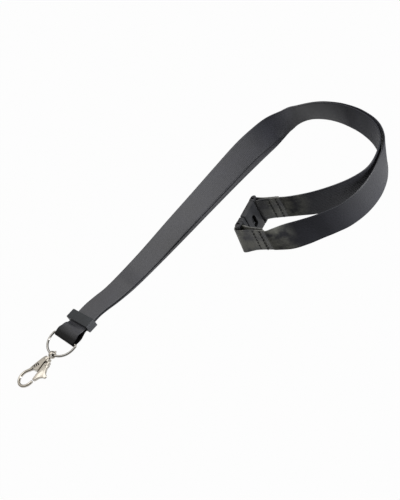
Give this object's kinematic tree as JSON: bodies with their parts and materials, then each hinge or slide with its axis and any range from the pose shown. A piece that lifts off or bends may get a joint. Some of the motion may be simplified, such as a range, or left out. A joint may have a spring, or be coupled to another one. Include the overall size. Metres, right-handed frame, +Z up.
{
  "type": "neck lanyard",
  "caption": "Flat woven neck lanyard: a doubled strap with a sliding keeper, a D ring with a swivel trigger hook, and a breakaway buckle in the neck loop.",
  "frame": {"origin": "on the table, under the middle of the keeper", "axes": "+X along the strap from the hook towards the neck loop, +Y across the strap, +Z up from the table"},
  "size_m": [0.3076, 0.1544, 0.024],
  "materials": {
    "webbing": "satin woven polyester, charcoal grey",
    "thread": "matt sewing thread",
    "keeper_plastic": "satin moulded plastic",
    "buckle_plastic": "satin moulded plastic",
    "nickel": "polished nickel plate on a zinc casting",
    "nickel_wire": "polished nickel plate on steel wire",
    "spring_wire": "bare spring steel"
  },
  "bodies": {
    "strap": {"strap_upper_run": "webbing", "strap_lower_run": "webbing", "strap_ring_loop": "webbing", "strap_end_socket": "webbing", "stitching_socket": "thread", "buckle_socket": "buckle_plastic"},
    "keeper": {"keeper": "keeper_plastic"},
    "d_ring": {"d_ring": "nickel_wire"},
    "swivel": {"swivel_eye": "nickel"},
    "hook": {"hook_body": "nickel", "lever_pin": "nickel"},
    "lever": {"hook_lever": "nickel", "lever_spring": "spring_wire"},
    "buckle_plug": {"buckle_plug": "buckle_plastic", "strap_end_plug": "webbing", "stitching_plug": "thread"}
  },
  "joints": [
    {"name": "keeper_slide", "type": "slide", "parent": "strap", "child": "keeper", "axis": [1, 0, 0], "range_m": [-0.002, 0.01]},
    {"name": "ring_swing", "type": "hinge", "parent": "strap", "child": "d_ring", "pos_m": [-0.0182, -0.0014, 0.00429], "axis": [0, 0.9848, 0.1736], "range_deg": [-60, 60]},
    {"name": "eye_swing", "type": "hinge", "parent": "d_ring", "child": "swivel", "pos_m": [-0.03314, -0.00207, 0.00326], "axis": [0.1503, 0.9886, 0], "range_deg": [-70, 70]},
    {"name": "hook_turn", "type": "hinge", "parent": "swivel", "child": "hook", "pos_m": [-0.03324, -0.00205, 0.00325], "axis": [-0.9865, 0.15, -0.0659], "continuous": true},
    {"name": "lever_open", "type": "hinge", "parent": "hook", "child": "lever", "pos_m": [-0.04212, -0.00435, 0.0027], "axis": [0.0652, -0.0099, -0.9978], "range_deg": [0, 20], "stiffness_Nm_per_rad": 0.03, "springref_deg": -17.19},
    {"name": "buckle_release", "type": "slide", "parent": "strap", "child": "buckle_plug", "axis": [-0.9613, -0.2756, 0], "range_m": [0, 0.014]}
  ]
}
